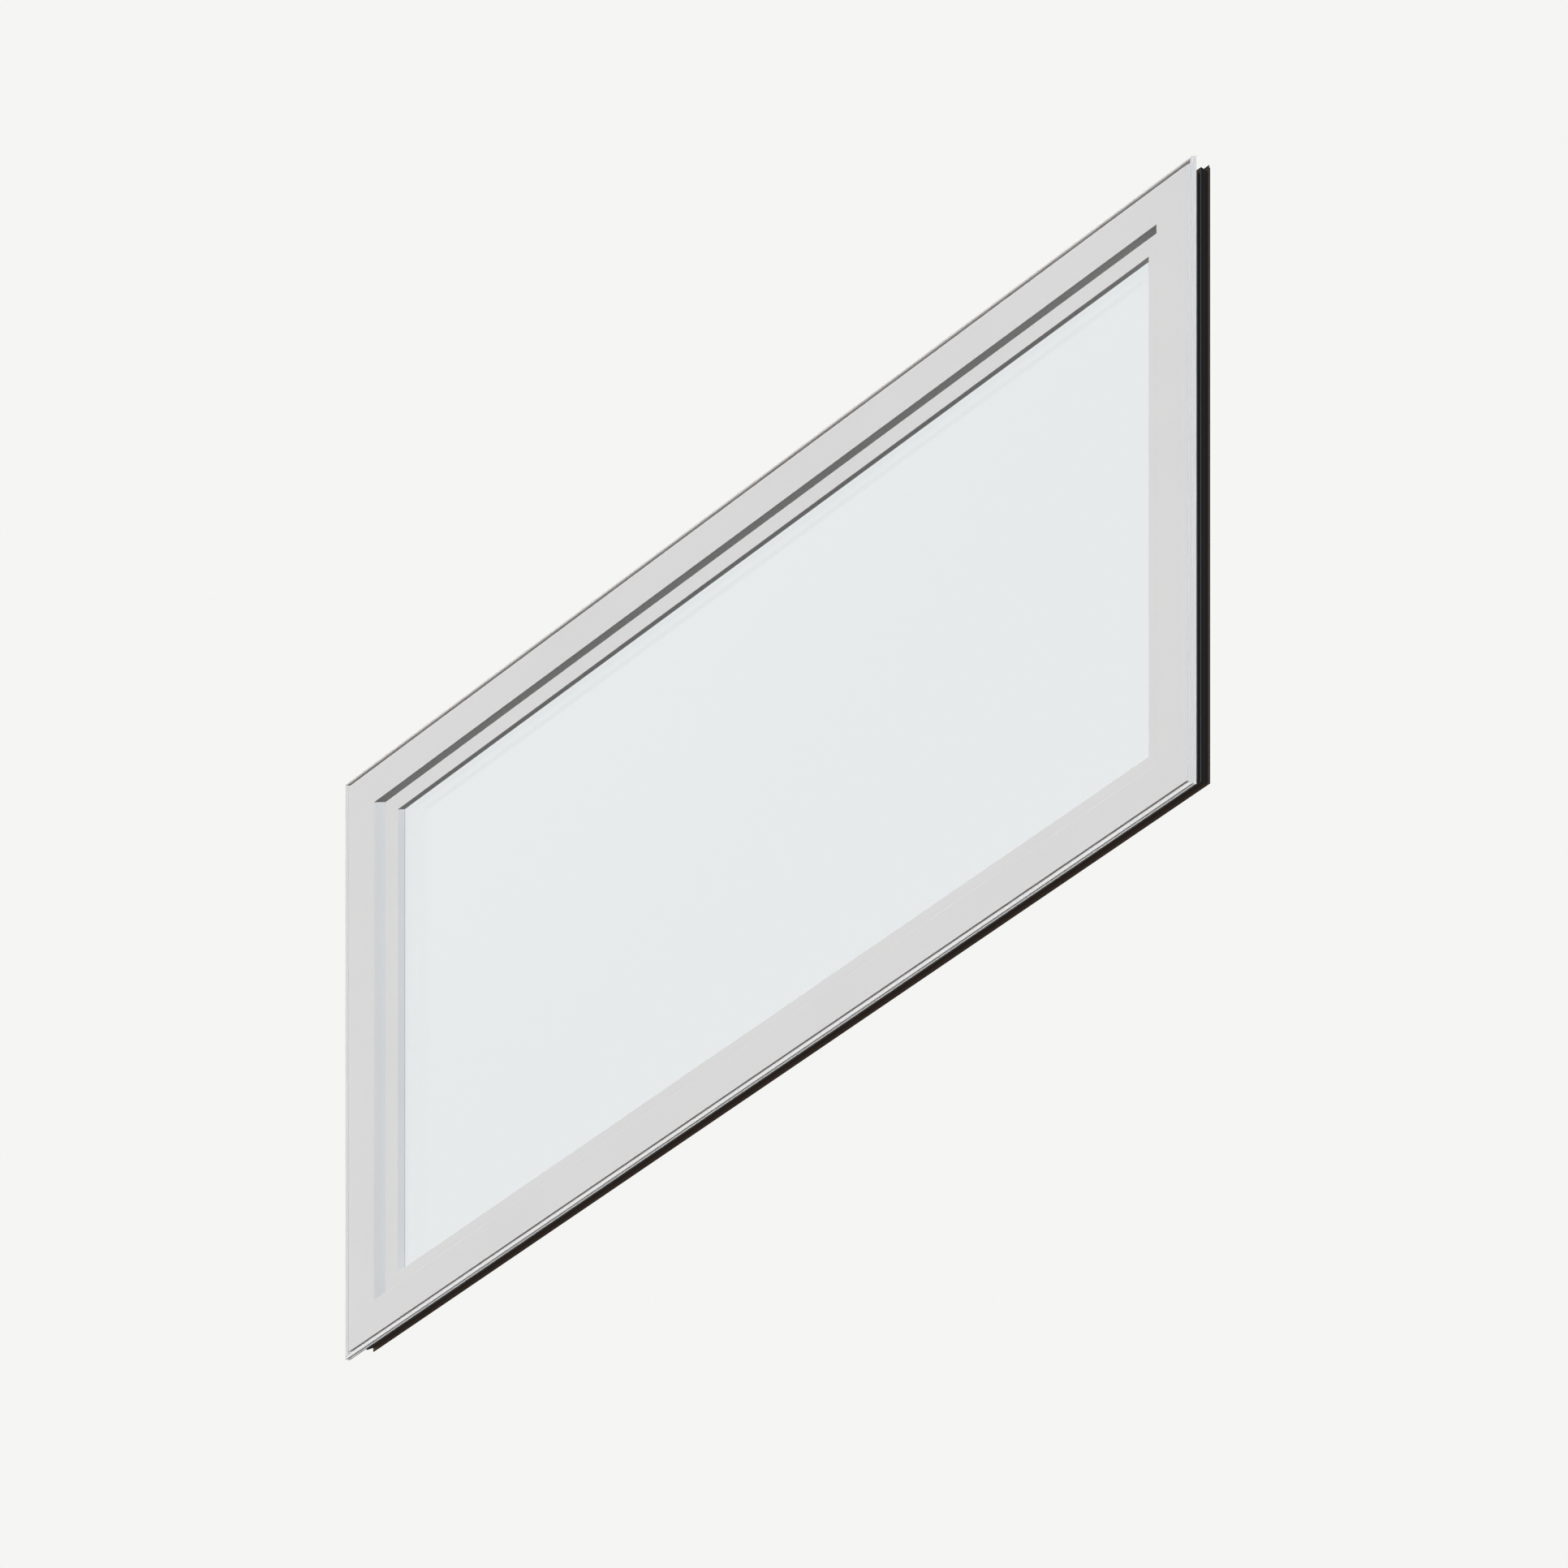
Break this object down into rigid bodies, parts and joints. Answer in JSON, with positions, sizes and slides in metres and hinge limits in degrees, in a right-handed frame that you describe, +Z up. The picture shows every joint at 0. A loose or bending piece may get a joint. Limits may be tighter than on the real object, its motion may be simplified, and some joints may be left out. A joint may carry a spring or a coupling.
{
  "type": "parallelogram window",
  "caption": "Fixed parallelogram window with upright jambs and a head and sill that climb to the right: white room side, black weather side, sealed double glass.",
  "frame": {"origin": "on the outer side of the white fin of the left jamb, at half the height of that jamb and halfway along the fin", "axes": "+X along the width to the right seen from the room, +Y from the room side to the weather side, +Z up"},
  "size_m": [0.9144, 0.0785, 1.2192],
  "materials": {
    "white_paint": "satin white paint on aluminium",
    "black_paint": "satin black paint on aluminium",
    "dark_polyamide": "matt",
    "grey_rubber": "matt",
    "black_rubber": "matt",
    "seal_rubber": "matt",
    "spacer_metal": "satin",
    "clear_glass": "clear, smooth"
  },
  "bodies": {
    "root": {"left_jamb_white_frame": "white_paint", "left_jamb_glazing_bead": "white_paint", "left_jamb_insulating_strip": "dark_polyamide", "left_jamb_black_frame": "black_paint", "left_jamb_inner_gasket": "grey_rubber", "left_jamb_outer_gasket": "black_rubber", "head_white_frame": "white_paint", "head_glazing_bead": "white_paint", "head_insulating_strip": "dark_polyamide", "head_black_frame": "black_paint", "head_inner_gasket": "grey_rubber", "head_outer_gasket": "black_rubber", "right_jamb_white_frame": "white_paint", "right_jamb_glazing_bead": "white_paint", "right_jamb_insulating_strip": "dark_polyamide", "right_jamb_black_frame": "black_paint", "right_jamb_inner_gasket": "grey_rubber", "right_jamb_outer_gasket": "black_rubber", "sill_white_frame": "white_paint", "sill_glazing_bead": "white_paint", "sill_insulating_strip": "dark_polyamide", "sill_black_frame": "black_paint", "sill_inner_gasket": "grey_rubber", "sill_outer_gasket": "black_rubber", "inner_pane": "clear_glass", "outer_pane": "clear_glass", "pane_spacer": "spacer_metal", "pane_edge_seal": "seal_rubber"}
  },
  "joints": []
}
